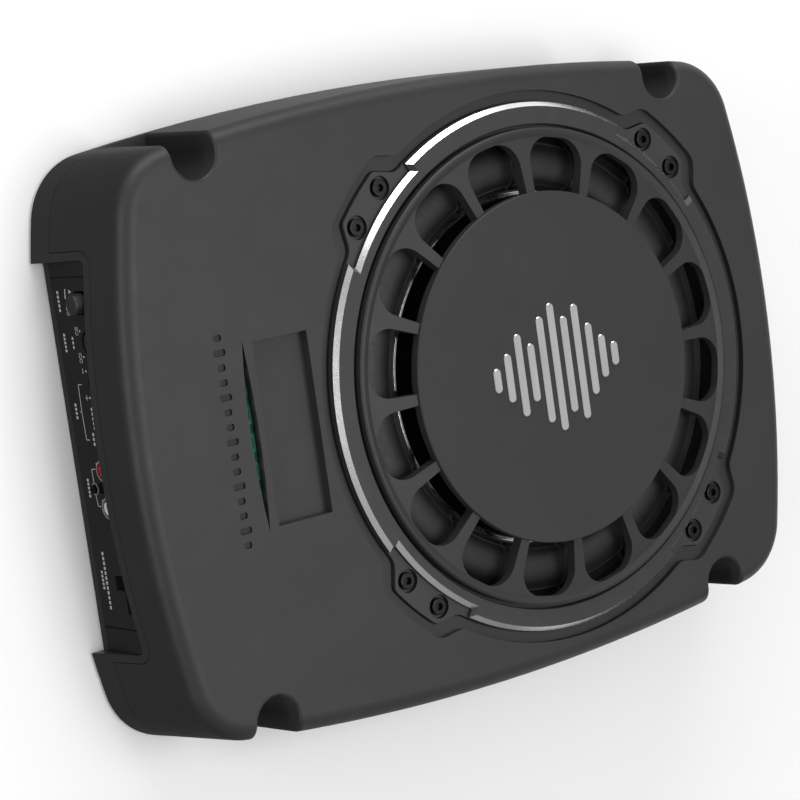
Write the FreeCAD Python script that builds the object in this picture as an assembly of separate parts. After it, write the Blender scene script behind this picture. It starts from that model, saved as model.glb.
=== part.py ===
import FreeCAD, Part
import math
import os

from FreeCAD import Vector

# Powered under-seat car subwoofer, in millimetres.
# The enclosure lies flat: +Z is up out of the grille, +X runs towards the
# driver end and -X towards the control panel. The origin is the centre of
# the footprint, on the surface that the rubber feet stand on.

# ---- driving dimensions -------------------------------------------------

LENGTH = 350.0
WIDTH = 250.0
FOOT_HEIGHT = 1.5
BASE_THICKNESS = 3.5
FACE_Z = 52.0             # top face of the enclosure
LONG_SIDE_BULGE = 14.8    # how far each long side bows out of a straight line
SHORT_SIDE_BULGE = 17.7
CORNER_RADIUS = 28.0
NEAR_END_LEAN = 9.8       # how far each wall leans in from foot to top face
FAR_END_LEAN = 6.5
LONG_SIDE_LEAN = 0.8
EDGE_ROUND = 7.0          # round where the top face meets the sides
WALL = 3.0

BASE_TOP = FOOT_HEIGHT + BASE_THICKNESS
SEAM_Z = 11.7             # the base is a shallow tray up to this height
SEAM_GAP = 0.3            # shadow gap between the shell and the base
SEAM_LIP = 1.5            # thickness and height of the tray's locating lip

DRIVER_X = 35.0           # driver axis, on the enclosure's centre line
RECESS_RADIUS = 113.8     # round channel in the top face around the driver
RECESS_DEPTH = 2.4
LOBE_RADIUS = 122.0       # the channel swells here to take the four lugs
LOBE_HALF_ANGLE = 8.5     # degrees
LOBE_ROOT_ANGLE = 12.6
LOBE_TIP_ROUND = 8.0
LOBE_ROOT_ROUND = 7.0
LUG_INSET = 4.7           # the lug stands this far inside its lobe
SCREW_CIRCLE = 110.6
SCREW_HALF_ANGLE = 5.04   # two screws per lug, either side of each diagonal
DRIVER_HOLE_RADIUS = 100.2

FLANGE_SEAT_Z = 48.1      # the driver's flange sits in a rebate below the channel
GASKET_THICKNESS = 0.5
FLANGE_TOP = 51.4
BASKET_WALL_RADIUS = 99.2
LANDING_Z = 41.5          # where the surround is glued to the basket
BASKET_FOOT_Z = 24.5

CONE_EDGE_RADIUS = 75.0
CONE_EDGE_Z = 43.0
CONE_NECK_Z = 33.0
CONE_THICKNESS = 0.8
COIL_RADIUS = 25.0
SOFT_GAP = 0.3            # the soft parts stay this far off the moving ones

TRIM_OUTER = 108.9
TRIM_INNER = 99.6
TRIM_TOP = 54.6
TRIM_BEVEL = 1.8
TRIM_NOTCH_INSET = 3.6    # the bright edge steps in beside each lug
TRIM_NOTCH_ANGLE = 13.0

GRILLE_OUTER = 98.2
GRILLE_OPENING_OUTER = 94.4
GRILLE_OPENING_INNER = 70.5
SPOKE_COUNT = 16
SPOKE_HALF_WIDTH_INNER = 2.1
SPOKE_HALF_WIDTH_OUTER = 3.2
OPENING_CORNER = 10.0
DISC_RADIUS = 72.2
DISC_TOP = 59.6
DISC_BOTTOM = 56.2

NOTCH_X = 120.5           # scallops in the long sides for the mounting screws
NOTCH_Y = 110.3
NOTCH_RADIUS = 9.8
MOUNT_HOLE_RADIUS = 2.75

POCKET_X = (-107.3, -81.5)    # shallow nameplate pocket beside the driver
POCKET_HALF_Y = 36.0
POCKET_DEPTH = 3.9
SLIT_X = -111.8               # lens-shaped light slit beside the pocket
SLIT_HALF_Y = 37.5
SLIT_BOW_LEFT = 2.3
SLIT_BOW_RIGHT = 1.7
MARKS_X = (-125.6, -120.0)    # row of plain debossed marks
MARKS_HALF_Y = 43.0
MARK_COUNT = 15
MARK_DEPTH = 0.8

PANEL_X = -163.0              # outer face of the control panel
PANEL_THICKNESS = 2.0
BAY_Y = (-75.5, 77.0)         # opening in the end wall in front of the panel
BAY_TOP = 30.5
BAY_CORNER = 3.5
BAY_FRAME = 3.3               # band round the opening that belongs to the base
LEDGE_X = (PANEL_X + PANEL_THICKNESS + 0.05, -158.3)    # the panel rests on these
PANEL_TALL_HALF_Y = 50.5      # the panel is a little taller in the middle
PANEL_TALL_TOP = 31.8
PANEL_GROOVES_Y = (-65.8, 70.8)

CONTROL_Z = 26.0              # centre line of the knobs and round sockets
BUTTON_Y = 60.8
BUTTON_Z = 25.4
BUTTON_RADIUS = 3.95
BUTTON_PROUD = 5.0
BUTTON_HOLE_HALF = 4.5
BUTTON_TRAVEL = 2.5
FREQUENCY_Y = 45.3
GAIN_Y = 29.5
KNOB_RADIUS = 4.5
KNOB_HOLE_RADIUS = 4.9
LAMP_Y = 16.0
JACK_Y = 8.0
PHONO_RED_Y = -3.4
PHONO_WHITE_Y = -17.9
PHONO_Z = 24.5
PHONO_RADIUS = 4.15
PHONO_PROUD = 2.2
PHONO_COLLAR = 0.6
PHONO_SCREW = (-11.2, 13.8)
PHONO_SLOT_Y = (-12.8, -8.7)
PHONO_SLOT_Z = (17.0, 23.0)
POWER_MOUTH_Y = (-59.9, -44.8)
POWER_MOUTH_Z = (24.1, 29.0)
LATCH_Y = (-50.7, -44.8)      # keyway for the plug's latch, under one end
LATCH_BOTTOM = 18.3

BOARD_X = (-158.0, -79.0)
BOARD_HALF_Y = 72.0
BOARD_BOTTOM = 13.0
BOARD_TOP = 14.6

BASE_SCREW_PLACES = [(-148.0, 98.0), (-60.0, 112.0), (10.0, 114.0),
                     (80.0, 112.0), (149.0, 84.0)]
END_SCREW_PLACE = (163.5, 0.0)
STANDOFF_PLACES = [(-152.0, 68.5), (-84.0, 68.5), (-152.0, -68.5), (-84.0, -68.5)]

AXIS_Z = Vector(0, 0, 1)
PLUS_X = Vector(1, 0, 0)
DRIVER_CENTRE = Vector(DRIVER_X, 0, 0)


# ---- helpers ------------------------------------------------------------

def save(name, shape):
    """Write one sub-part; a group of identical pieces is a compound of solids."""
    os.makedirs("parts", exist_ok=True)
    solids = shape.Solids
    clean = solids[0] if len(solids) == 1 else Part.makeCompound(solids)
    if not all(solid.isValid() for solid in solids):
        print("not valid:", name)
    clean.exportStep("parts/" + name + ".step")
    print(name, len(solids), round(sum(solid.Volume for solid in solids)))


def box(x, y, z):
    """Box from three (low, high) pairs."""
    return Part.makeBox(x[1] - x[0], y[1] - y[0], z[1] - z[0], Vector(x[0], y[0], z[0]))


def rod(centre, radius, length, axis=AXIS_Z):
    return Part.makeCylinder(radius, length, Vector(*centre), axis)


def tube(centre, inner, outer, length, axis=AXIS_Z):
    return rod(centre, outer, length, axis).cut(rod(centre, inner, length, axis))


def driver_ring(inner, outer, low, high):
    """Flat ring about the driver axis."""
    return tube((DRIVER_X, 0, low), inner, outer, high - low)


def turned(points):
    """Solid of revolution about the driver axis from (radius, z) corners."""
    corners = [Vector(DRIVER_X + radius, 0, z) for radius, z in points]
    face = Part.Face(Part.makePolygon(corners + corners[:1]))
    return face.revolve(DRIVER_CENTRE, AXIS_Z, 360)


def turn(shape, degrees):
    """Copy of a shape turned about the driver axis."""
    copy = shape.copy()
    copy.rotate(DRIVER_CENTRE, AXIS_Z, degrees)
    return copy


def polar(radius, degrees, z=0.0):
    """Point at an angle about the driver axis."""
    angle = math.radians(degrees)
    return Vector(DRIVER_X + radius * math.cos(angle), radius * math.sin(angle), z)


def join(shapes):
    shapes = list(shapes)
    return shapes[0].fuse(shapes[1:]).removeSplitter() if len(shapes) > 1 else shapes[0]


def edges_at_z(shape, z):
    return [edge for edge in shape.Edges
            if all(abs(vertex.Z - z) < 1e-3 for vertex in edge.Vertexes)]


def body_outline(inset, z):
    """Outline of the enclosure at one height: four bowed sides and corner arcs."""
    rise = (z - FOOT_HEIGHT) / (FACE_Z - FOOT_HEIGHT)
    half_length = LENGTH / 2 - rise * (NEAR_END_LEAN + FAR_END_LEAN) / 2
    half_width = WIDTH / 2 - rise * LONG_SIDE_LEAN
    shift = rise * (NEAR_END_LEAN - FAR_END_LEAN) / 2
    long_radius = (half_length**2 + LONG_SIDE_BULGE**2) / (2 * LONG_SIDE_BULGE)
    short_radius = (half_width**2 + SHORT_SIDE_BULGE**2) / (2 * SHORT_SIDE_BULGE)
    long_centre = half_width - long_radius       # on the Y axis
    short_centre = half_length - short_radius    # on the X axis
    # The corner arc touches both side arcs from inside, so its centre lies
    # where two circles, each smaller by the corner radius, cross.
    reach_long = long_radius - CORNER_RADIUS
    reach_short = short_radius - CORNER_RADIUS
    apart = math.hypot(short_centre, long_centre)
    along = (reach_long**2 - reach_short**2 + apart**2) / (2 * apart)
    across = math.sqrt(reach_long**2 - along**2)
    unit = (short_centre / apart, -long_centre / apart)
    corner = (along * unit[0] + across * unit[1],
              long_centre + along * unit[1] - across * unit[0])
    to_long = (corner[0] / reach_long, (corner[1] - long_centre) / reach_long)
    to_short = ((corner[0] - short_centre) / reach_short, corner[1] / reach_short)
    middle = math.atan2(to_long[1] + to_short[1], to_long[0] + to_short[0])
    radius = CORNER_RADIUS - inset
    p_long = (corner[0] + radius * to_long[0], corner[1] + radius * to_long[1])
    p_short = (corner[0] + radius * to_short[0], corner[1] + radius * to_short[1])
    p_mid = (corner[0] + radius * math.cos(middle), corner[1] + radius * math.sin(middle))

    def at(point, sx, sy):
        return Vector(sx * point[0] + shift, sy * point[1], z)

    top = (0, half_width - inset)
    end = (half_length - inset, 0)
    arcs = [(at(p_long, -1, 1), at(top, 1, 1), at(p_long, 1, 1)),
            (at(p_long, 1, 1), at(p_mid, 1, 1), at(p_short, 1, 1)),
            (at(p_short, 1, 1), at(end, 1, 1), at(p_short, 1, -1)),
            (at(p_short, 1, -1), at(p_mid, 1, -1), at(p_long, 1, -1)),
            (at(p_long, 1, -1), at(top, 1, -1), at(p_long, -1, -1)),
            (at(p_long, -1, -1), at(p_mid, -1, -1), at(p_short, -1, -1)),
            (at(p_short, -1, -1), at(end, -1, 1), at(p_short, -1, 1)),
            (at(p_short, -1, 1), at(p_mid, -1, 1), at(p_long, -1, 1))]
    return Part.Wire([Part.Arc(*points).toShape() for points in arcs])


def body_form(inset, low, high, round_radius=0):
    """The enclosure's leaning form between two heights, set in by inset."""
    form = Part.makeLoft([body_outline(inset, low), body_outline(inset, high)], True, True)
    if round_radius:
        form = form.makeFillet(round_radius, edges_at_z(form, high))
    return form


def lobed_slab(grow, low, high):
    """Disc with four soft lobes on the diagonals, grown outward by grow."""
    disc_radius = RECESS_RADIUS + grow
    lobe_angle = LOBE_HALF_ANGLE + math.degrees(grow / LOBE_RADIUS)
    outer = LOBE_RADIUS + grow
    root_angle = LOBE_ROOT_ANGLE + math.degrees(grow / RECESS_RADIUS)
    arcs = []
    for i in range(4):
        middle = 45 + 90 * i
        corners = [polar(disc_radius, middle - root_angle, low),
                   polar(outer, middle - lobe_angle, low),
                   polar(outer, middle, low),
                   polar(outer, middle + lobe_angle, low),
                   polar(disc_radius, middle + root_angle, low)]
        following = polar(disc_radius, middle + 90 - root_angle, low)
        arcs += [Part.makeLine(corners[0], corners[1]),
                 Part.Arc(corners[1], corners[2], corners[3]).toShape(),
                 Part.makeLine(corners[3], corners[4]),
                 Part.Arc(corners[4], polar(disc_radius, middle + 45, low), following).toShape()]
    slab = Part.Face(Part.Wire(arcs)).extrude(Vector(0, 0, high - low))
    centre = polar(0, 0, (low + high) / 2)
    uprights = [edge for edge in slab.Edges
                if abs(edge.Vertexes[0].Z - edge.Vertexes[-1].Z) > 0.1]
    tips = [edge for edge in uprights if edge.CenterOfMass.distanceToPoint(centre) > outer - 1]
    slab = slab.makeFillet(max(LOBE_TIP_ROUND + grow, 1.0), tips)
    roots = [edge for edge in slab.Edges
             if abs(edge.Vertexes[0].Z - edge.Vertexes[-1].Z) > 0.1
             and edge.CenterOfMass.distanceToPoint(centre) < disc_radius + 1]
    return slab.makeFillet(LOBE_ROOT_ROUND, roots)


def screw_angles():
    for quadrant in range(4):
        for side in (-1, 1):
            yield 45 + 90 * quadrant + side * SCREW_HALF_ANGLE


def mirrored(places):
    return [(x, side * y) for x, y in places for side in (1, -1)]


def base_screw_places():
    return mirrored(BASE_SCREW_PLACES) + [END_SCREW_PLACE]


def notch(grow, low, high):
    """The four open-ended scallops, grown outward by grow."""
    radius = NOTCH_RADIUS + grow
    shapes = []
    for x, y in mirrored([(NOTCH_X, NOTCH_Y), (-NOTCH_X, NOTCH_Y)]):
        reach = 30.0 if y > 0 else -30.0
        slot = box((x - radius, x + radius), sorted((y, y + reach)), (low, high))
        shapes.append(join([rod((x, y, low), radius, high - low), slot]))
    return join(shapes)


def bay_prism(grow, x):
    """The bay opening, round-cornered at the top, carried through along X."""
    block = box(x, (BAY_Y[0] - grow, BAY_Y[1] + grow), (-6.0, BAY_TOP + grow))
    corners = [edge for edge in block.Edges
               if abs(edge.Vertexes[0].X - edge.Vertexes[-1].X) > 1
               and edge.CenterOfMass.z > BAY_TOP + grow - 1]
    return block.makeFillet(BAY_CORNER + max(grow, 0.0), corners)


# ---- enclosure ----------------------------------------------------------

def shell_cavity():
    """Air space inside the shell, with the walls that stand in it left solid."""
    cavity = body_form(WALL, 0, FACE_Z - WALL, EDGE_ROUND - WALL)
    solid_parts = [
        lobed_slab(WALL, FLANGE_SEAT_Z - 2.6, FACE_Z),
        notch(WALL, 0, FACE_Z),
        box((POCKET_X[0] - 2.5, POCKET_X[1] + 2.5),
            (-POCKET_HALF_Y - 2.5, POCKET_HALF_Y + 2.5),
            (FACE_Z - POCKET_DEPTH - 2.5, FACE_Z)),
    ]
    solid_parts += [rod((x, y, 0), 4.6, FACE_Z) for x, y in base_screw_places()]
    for degrees in screw_angles():
        place = polar(SCREW_CIRCLE, degrees, 34.0)
        solid_parts.append(rod(tuple(place), 4.6, 12.0))
    return cavity.cut(solid_parts)


def tray_zone(grow):
    """Space that the base fills: all that lies below the seam, with the bay's
    frame, and without the scallops' walls and the screw pillars."""
    low = box((-LENGTH, LENGTH), (-WIDTH, WIDTH), (0, SEAM_Z + grow))
    low = low.cut([notch(WALL + SEAM_GAP - grow, BASE_TOP + grow, FACE_Z)]
                  + [rod((x, y, BASE_TOP + grow), 4.9 - grow, FACE_Z)
                     for x, y in base_screw_places()])
    return join([low, bay_prism(BAY_FRAME + grow, (-LENGTH, LEDGE_X[1] + grow))])


def slit(low, high):
    """Lens-shaped opening between two shallow arcs."""
    ends = [Vector(SLIT_X, side * SLIT_HALF_Y, low) for side in (-1, 1)]
    left = Part.Arc(ends[0], Vector(SLIT_X - SLIT_BOW_LEFT, 0, low), ends[1])
    right = Part.Arc(ends[1], Vector(SLIT_X + SLIT_BOW_RIGHT, 0, low), ends[0])
    face = Part.Face(Part.Wire([left.toShape(), right.toShape()]))
    return face.extrude(Vector(0, 0, high - low))


def debossed_marks():
    """A row of short plain grooves, long and short by turns."""
    pitch = 2 * MARKS_HALF_Y / MARK_COUNT
    middle = (MARKS_X[0] + MARKS_X[1]) / 2
    grooves = []
    for i in range(MARK_COUNT):
        y = -MARKS_HALF_Y + pitch * (i + 0.5)
        half = (MARKS_X[1] - MARKS_X[0]) / 2 * (1.0 if i % 3 == 1 else 0.65)
        groove = box((middle - half, middle + half), (y - 1.3, y + 1.3),
                     (FACE_Z - MARK_DEPTH, FACE_Z + 1))
        uprights = [edge for edge in groove.Edges
                    if abs(edge.Vertexes[0].Z - edge.Vertexes[-1].Z) > 0.5]
        grooves.append(groove.makeFillet(1.0, uprights))
    return grooves


def enclosure_shell():
    shell = body_form(0, FOOT_HEIGHT, FACE_Z, EDGE_ROUND)
    shell = shell.cut(notch(0, 0, FACE_Z + 5))
    rims = [edge for edge in shell.Edges
            if edge.BoundBox.ZMax > FACE_Z - EDGE_ROUND + 0.5
            and abs(abs(edge.CenterOfMass.x) - NOTCH_X) < NOTCH_RADIUS + 1
            and abs(edge.CenterOfMass.y) > NOTCH_Y - NOTCH_RADIUS - 1
            and edge.BoundBox.ZMin > BASE_TOP + 3]
    try:
        shell = shell.makeFillet(1.6, rims)
    except Part.OCCError as error:
        print("notch rims left sharp:", error)
    shell = shell.cut(shell_cavity())
    shell = shell.cut([
        tray_zone(SEAM_GAP),
        lobed_slab(0, FACE_Z - RECESS_DEPTH, FACE_Z + 5),
        lobed_slab(-LUG_INSET + 0.4, FLANGE_SEAT_Z, FACE_Z),
        rod((DRIVER_X, 0, 0), DRIVER_HOLE_RADIUS, FACE_Z + 5),
        box(POCKET_X, (-POCKET_HALF_Y, POCKET_HALF_Y), (FACE_Z - POCKET_DEPTH, FACE_Z + 5)),
        slit(FACE_Z - WALL - 1, FACE_Z + 5),
    ])
    shell = shell.cut(debossed_marks())
    pilots = [rod((x, y, 0), 1.45, 24.0) for x, y in base_screw_places()]
    for degrees in screw_angles():
        place = polar(SCREW_CIRCLE, degrees, 35.0)
        pilots.append(rod(tuple(place), 1.95, FACE_Z - 35.0))
    return shell.cut(pilots)


def bay_frame():
    """Cheeks and lintel round the bay, with the ledges behind the panel."""
    frame = bay_prism(BAY_FRAME, (-LENGTH, LEDGE_X[1])).common(body_form(0, FOOT_HEIGHT, FACE_Z))
    tall = box((PANEL_X - 1.4, 0), (-PANEL_TALL_HALF_Y - 0.3, PANEL_TALL_HALF_Y + 0.3),
               (BAY_TOP - 1, PANEL_TALL_TOP + 0.3))
    behind = box((PANEL_X - 0.3, 0), (BAY_Y[0] + 4.5, BAY_Y[1] - 4.5), (BASE_TOP, BAY_TOP))
    frame = frame.cut([bay_prism(0, (-LENGTH, LEDGE_X[0])), tall, behind])
    return frame


def base_plate():
    """Shallow tray: floor, low walls with a locating lip, and the bay's frame."""
    tray = body_form(0, FOOT_HEIGHT, SEAM_Z)
    inside = body_form(WALL + SEAM_GAP + SEAM_LIP, BASE_TOP, SEAM_Z + 5)
    walls = tray.cut(inside)
    lip = body_form(WALL + SEAM_GAP, SEAM_Z - 1, SEAM_Z + SEAM_LIP).cut(inside)
    bay = bay_prism(BAY_FRAME, (-LENGTH, LEDGE_X[1]))
    upper = join([walls, lip]).cut([
        notch(WALL + SEAM_GAP, BASE_TOP, FACE_Z),
        bay_prism(BAY_FRAME + SEAM_GAP, (-LENGTH, LEDGE_X[1] + SEAM_GAP)).common(
            box((-LENGTH, 0), (-WIDTH, WIDTH), (SEAM_Z, FACE_Z))),
        bay.common(box((-LENGTH, 0), (-WIDTH, WIDTH), (BASE_TOP, FACE_Z)))]
        + [rod((x, y, BASE_TOP), 4.9, FACE_Z) for x, y in base_screw_places()])
    base = join([solid for solid in upper.Solids if solid.Volume > 1000] + bay_frame().Solids)
    base = base.cut(box((-LENGTH, PANEL_X), BAY_Y, (0, BASE_TOP + 1)))
    holes = [rod((x, y, 0), MOUNT_HOLE_RADIUS, 20)
             for x, y in mirrored([(NOTCH_X, NOTCH_Y), (-NOTCH_X, NOTCH_Y)])]
    for x, y in base_screw_places():
        holes.append(rod((x, y, 0), 1.8, 20))
        holes.append(rod((x, y, 0), 3.5, FOOT_HEIGHT + 2.0))
    holes += [rod((x, y, 0), 1.6, 20) for x, y in STANDOFF_PLACES]
    holes += [rod((LEDGE_X[0] - 1, y, z), 1.5, 5, PLUS_X) for y, z in panel_screw_places()]
    return base.cut(holes)


def base_screws():
    shapes = []
    for x, y in base_screw_places():
        head = rod((x, y, FOOT_HEIGHT + 0.2), 3.1, 1.8)
        shank = rod((x, y, FOOT_HEIGHT + 2.0), 1.4, 18.0)
        drive = box((x - 1.5, x + 1.5), (y - 0.35, y + 0.35), (0, FOOT_HEIGHT + 1.2))
        cross = box((x - 0.35, x + 0.35), (y - 1.5, y + 1.5), (0, FOOT_HEIGHT + 1.2))
        shapes.append(join([head, shank]).cut([drive, cross]))
    return Part.makeCompound(shapes)


def rubber_feet():
    feet = []
    for x, y in mirrored([(-118.0, 84.0), (118.0, 84.0)]):
        foot = rod((x, y, 0), 9.0, FOOT_HEIGHT)
        feet.append(foot.makeFillet(0.5, edges_at_z(foot, 0)))
    return Part.makeCompound(feet)


# ---- driver -------------------------------------------------------------

def basket():
    """Pressed basket: lugged flange, side wall, surround landing and ribs."""
    flange_low = FLANGE_SEAT_Z + GASKET_THICKNESS
    body = turned([(38, BASKET_FOOT_Z), (61, BASKET_FOOT_Z), (63, 26.0), (92, 39.5),
                   (BASKET_WALL_RADIUS, 39.5), (BASKET_WALL_RADIUS, FLANGE_TOP),
                   (97.6, FLANGE_TOP), (97.6, LANDING_Z), (91, LANDING_Z),
                   (62, 29.5), (50, 29.5), (50, 26.5), (38, 26.5)])
    flange = lobed_slab(-LUG_INSET, flange_low, FLANGE_TOP)
    flange = flange.cut(rod((DRIVER_X, 0, 0), BASKET_WALL_RADIUS - 1, FACE_Z))
    body = join([body, flange])
    window = turned([(64, 20), (89.5, 20), (89.5, 45), (64, 45)])
    wedge = Part.Face(Part.makePolygon([
        Vector(DRIVER_X, 0, 20), polar(150, -15, 20), polar(150, 15, 20),
        Vector(DRIVER_X, 0, 20)])).extrude(Vector(0, 0, 25))
    window = window.common(wedge)
    body = body.cut([turn(window, 22.5 + 45 * i) for i in range(8)])
    holes = []
    for degrees in screw_angles():
        holes.append(rod(tuple(polar(SCREW_CIRCLE, degrees, 40)), 2.2, 20))
        holes.append(rod(tuple(polar(SCREW_CIRCLE, degrees, 49.6)), 4.9, 5))
    return body.cut(holes)


def basket_gasket():
    gasket = lobed_slab(-LUG_INSET, FLANGE_SEAT_Z, FLANGE_SEAT_Z + GASKET_THICKNESS)
    gasket = gasket.cut(rod((DRIVER_X, 0, 0), DRIVER_HOLE_RADIUS, FACE_Z))
    return gasket.cut([rod(tuple(polar(SCREW_CIRCLE, degrees, 40)), 2.3, 20)
                       for degrees in screw_angles()])


def hexagon(centre, across_flats, depth):
    radius = across_flats / math.sqrt(3)
    corners = [Vector(centre[0] + radius * math.cos(math.radians(60 * i)),
                      centre[1] + radius * math.sin(math.radians(60 * i)), centre[2])
               for i in range(7)]
    return Part.Face(Part.makePolygon(corners)).extrude(Vector(0, 0, depth))


def driver_screws():
    """Hex-socket cap screws through the lugs."""
    shapes = []
    for degrees in screw_angles():
        seat = polar(SCREW_CIRCLE, degrees, 49.6)
        head = rod(tuple(seat), 3.5, 2.2)
        head = head.makeFillet(0.5, edges_at_z(head, seat.z + 2.2))
        shank = rod((seat.x, seat.y, 36.5), 1.9, seat.z - 36.5)
        shapes.append(join([head, shank]).cut(
            hexagon((seat.x, seat.y, seat.z + 0.5), 3.0, 5)))
    return Part.makeCompound(shapes)


def surround():
    """Rubber half-roll from the cone's edge to the basket."""
    roll_inner, roll_outer = CONE_EDGE_RADIUS + 0.6, 92.6
    low = CONE_EDGE_Z + SOFT_GAP
    middle = (roll_inner + roll_outer) / 2
    lip = CONE_EDGE_RADIUS - 1.5
    rise = 5.0

    def point(radius, z):
        return Vector(DRIVER_X + radius, 0, z)

    skin = 0.9
    outer_z = LANDING_Z + 0.05
    edges = [Part.makeLine(point(lip, low), point(roll_inner, low)),
             Part.Arc(point(roll_inner, low), point(middle, low + rise),
                      point(roll_outer, outer_z)).toShape(),
             Part.makeLine(point(roll_outer, outer_z), point(97.3, outer_z)),
             Part.makeLine(point(97.3, outer_z), point(97.3, outer_z + skin)),
             Part.makeLine(point(97.3, outer_z + skin), point(roll_outer + 0.5, outer_z + skin)),
             Part.Arc(point(roll_outer + 0.5, outer_z + skin), point(middle, low + rise + skin),
                      point(roll_inner - 0.5, low + skin)).toShape(),
             Part.makeLine(point(roll_inner - 0.5, low + skin), point(lip, low + skin)),
             Part.makeLine(point(lip, low + skin), point(lip, low))]
    return Part.Face(Part.Wire(edges)).revolve(DRIVER_CENTRE, AXIS_Z, 360)


def cone():
    edge, neck, skin = CONE_EDGE_Z, CONE_NECK_Z, CONE_THICKNESS
    return turned([(25.1, neck - 1.2), (26.0, neck - 1.2), (26.6, neck), (72.5, edge - skin),
                   (CONE_EDGE_RADIUS, edge - skin), (CONE_EDGE_RADIUS, edge), (72.0, edge),
                   (26.4, neck + skin), (25.1, neck + skin)])


def cone_trim_ring():
    """Two fine polished beads on one thin ring at the cone's edge."""
    base = CONE_EDGE_Z + 0.02
    top = base + 1.2
    return turned([(70.9, base), (73.1, base), (73.1, top - 0.4), (72.8, top), (72.4, top),
                   (72.2, base + 0.5), (71.8, base + 0.5), (71.6, top), (71.2, top),
                   (70.9, top - 0.4)])


def dust_cap():
    """Shallow dome over the coil: the top of a thin-walled ball."""
    radius, low, rise, skin = 31.0, 35.2, 7.0, 0.7
    ball_radius = (radius**2 + rise**2) / (2 * rise)
    centre = Vector(DRIVER_X, 0, low + rise - ball_radius)
    ball = Part.makeSphere(ball_radius + skin, centre).cut(Part.makeSphere(ball_radius, centre))
    return ball.common(rod((DRIVER_X, 0, low), radius, 2 * rise))


def spider():
    """Corrugated disc that centres the coil: a flat collar, waves and a rim."""
    waves, inner, outer, level, swing, skin = 4, 28.0, 49.0, 30.2, 0.8, 0.5
    step = (outer - inner) / (2 * waves)
    upper = [(COIL_RADIUS + SOFT_GAP, level), (inner, level)]
    for i in range(2 * waves):
        peak = swing if i % 2 == 0 else -swing
        upper.append((inner + step * (i + 0.5), level + peak))
    upper += [(outer, 29.6), (56.0, 29.6)]
    lower = [(radius, z + skin) for radius, z in reversed(upper)]
    return turned(upper + lower)


def coil_former():
    return driver_ring(COIL_RADIUS - 0.25, COIL_RADIUS, 16.8, 35.0)


def voice_coil():
    return driver_ring(COIL_RADIUS, COIL_RADIUS + 0.7, 16.9, 27.9)


def top_plate():
    return driver_ring(26.3, 50.0, 20.2, BASKET_FOOT_Z)


def magnet_ring():
    return driver_ring(30.0, 52.0, 11.2, 20.2)


def yoke():
    """Back plate and pole piece in one, with a vent up the middle."""
    body = turned([(4.0, 6.2), (49.0, 6.2), (50.0, 7.2), (50.0, 11.2), (24.2, 11.2),
                   (24.2, 24.0), (23.4, 24.8), (4.0, 24.8)])
    return body


def terminal_strip():
    """Insulating strip with two solder tags, hung from a basket rib."""
    x = DRIVER_X - 79.5
    strip = box((x, x + 2.0), (-9, 9), (16, 31.5))
    tags = [box((x - 4.0, x), (side * 5 - 1.6, side * 5 + 1.6), (19.6, 20.4))
            for side in (-1, 1)]
    return join([strip] + tags)


def speaker_wires():
    """Two short leads from the amplifier board to the terminal strip."""
    wires = []
    start_x, end_x = BOARD_X[1] - 6.0, DRIVER_X - 83.0
    low, high = BOARD_TOP + 0.05, 21.8
    bend = 3.0
    for side in (-1, 1):
        y = side * 5.0
        rise_top = Vector(start_x, y, high - bend)
        run_start = Vector(start_x + bend, y, high)
        run_end = Vector(end_x, y, high)
        corner = Vector(start_x + bend * (1 - math.sqrt(0.5)), y, high - bend * (1 - math.sqrt(0.5)))
        path = Part.Wire([Part.makeLine(Vector(start_x, y, low), rise_top),
                          Part.Arc(rise_top, corner, run_start).toShape(),
                          Part.makeLine(run_start, run_end)])
        circle = Part.Wire([Part.makeCircle(1.3, Vector(start_x, y, low), AXIS_Z)])
        wires.append(path.makePipeShell([circle], True, True))
    return Part.makeCompound(wires)


def trim_ring():
    """Ring with a bevelled edge that steps inward beside each lug."""
    low = FLANGE_TOP
    wide = driver_ring(TRIM_INNER, TRIM_OUTER, low, TRIM_TOP)
    narrow = driver_ring(TRIM_INNER, TRIM_OUTER - TRIM_NOTCH_INSET, low, TRIM_TOP)
    wedges = []
    for i in range(4):
        middle = 45 + 90 * i
        corners = [Vector(DRIVER_X, 0, low), polar(160, middle - TRIM_NOTCH_ANGLE, low),
                   polar(160, middle + TRIM_NOTCH_ANGLE, low), Vector(DRIVER_X, 0, low)]
        wedges.append(Part.Face(Part.makePolygon(corners)).extrude(Vector(0, 0, TRIM_TOP - low)))
    ring = join([narrow] + wide.cut(wedges).Solids)
    rim = [edge for edge in edges_at_z(ring, TRIM_TOP)
           if max(vertex.Point.distanceToPoint(polar(0, 0, TRIM_TOP))
                  for vertex in edge.Vertexes) > TRIM_INNER + 1]
    ring = ring.makeChamfer(TRIM_BEVEL, rim)
    bore = [edge for edge in edges_at_z(ring, TRIM_TOP)
            if abs(edge.Vertexes[0].Point.distanceToPoint(polar(0, 0, TRIM_TOP)) - TRIM_INNER) < 0.01]
    return ring.makeChamfer(0.4, bore)


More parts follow.
